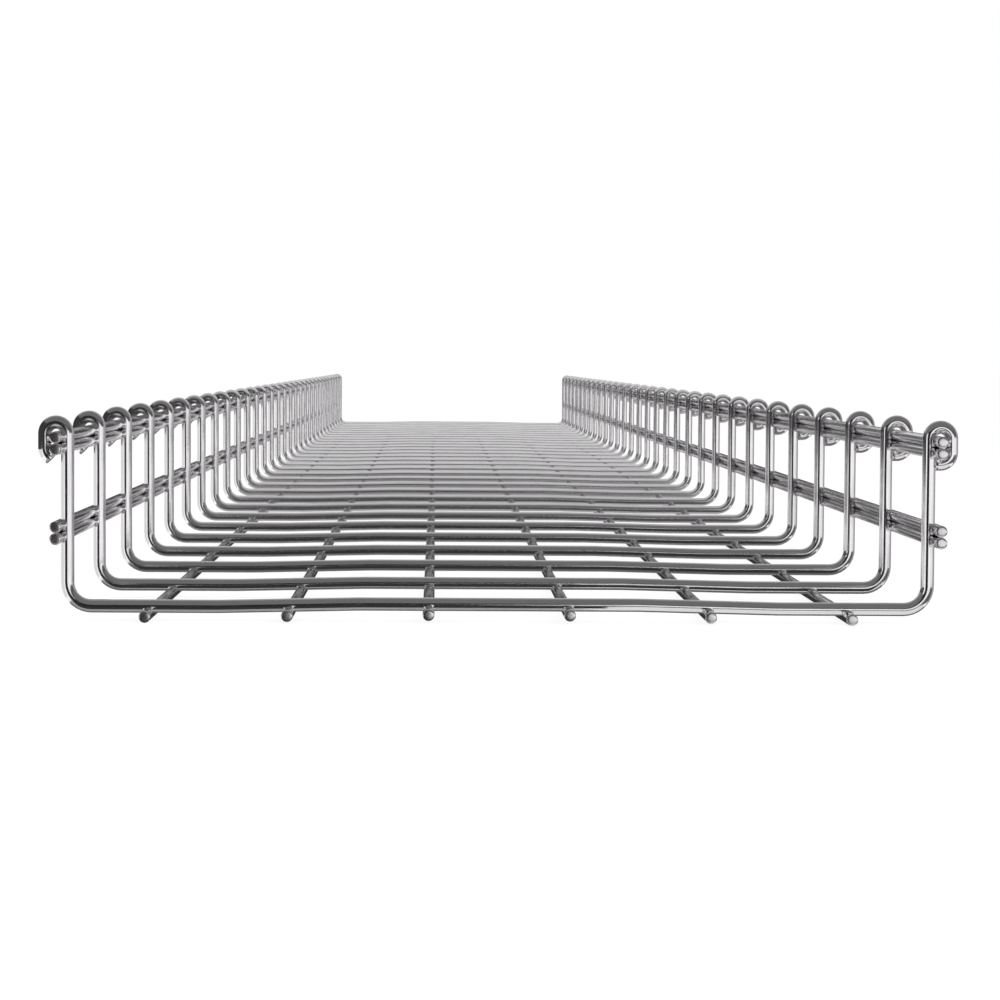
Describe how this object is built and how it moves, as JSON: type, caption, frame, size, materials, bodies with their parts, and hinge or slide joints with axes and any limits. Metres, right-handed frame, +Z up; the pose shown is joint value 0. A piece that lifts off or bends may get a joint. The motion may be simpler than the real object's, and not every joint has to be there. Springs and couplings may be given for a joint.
{
  "type": "wire mesh cable tray",
  "caption": "Straight length of welded wire cable tray: U-bent cross wires with hooked tops on long straight wires.",
  "frame": {"origin": "on the floor, under the middle of the tray", "axes": "+X to the right across the tray, +Y along it away from the front end, +Z up"},
  "size_m": [0.3276, 3, 0.0727],
  "materials": {
    "bright_wire": "bright, electropolished wire with darker weld marks"
  },
  "bodies": {
    "root": {"cross_wire_01": "bright_wire", "cross_wire_02": "bright_wire", "cross_wire_03": "bright_wire", "cross_wire_04": "bright_wire", "cross_wire_05": "bright_wire", "cross_wire_06": "bright_wire", "cross_wire_07": "bright_wire", "cross_wire_08": "bright_wire", "cross_wire_09": "bright_wire", "cross_wire_10": "bright_wire", "cross_wire_11": "bright_wire", "cross_wire_12": "bright_wire", "cross_wire_13": "bright_wire", "cross_wire_14": "bright_wire", "cross_wire_15": "bright_wire", "cross_wire_16": "bright_wire", "cross_wire_17": "bright_wire", "cross_wire_18": "bright_wire", "cross_wire_19": "bright_wire", "cross_wire_20": "bright_wire", "cross_wire_21": "bright_wire", "cross_wire_22": "bright_wire", "cross_wire_23": "bright_wire", "cross_wire_24": "bright_wire", "cross_wire_25": "bright_wire", "cross_wire_26": "bright_wire", "cross_wire_27": "bright_wire", "cross_wire_28": "bright_wire", "cross_wire_29": "bright_wire", "cross_wire_30": "bright_wire", "cross_wire_31": "bright_wire", "floor_wire_1": "bright_wire", "floor_wire_2": "bright_wire", "floor_wire_3": "bright_wire", "floor_wire_4": "bright_wire", "floor_wire_5": "bright_wire", "floor_wire_6": "bright_wire", "left_middle_rail_upper": "bright_wire", "left_middle_rail_lower": "bright_wire", "left_top_rail_upper": "bright_wire", "left_top_rail_lower": "bright_wire", "right_middle_rail_upper": "bright_wire", "right_middle_rail_lower": "bright_wire", "right_top_rail_upper": "bright_wire", "right_top_rail_lower": "bright_wire"}
  },
  "joints": []
}
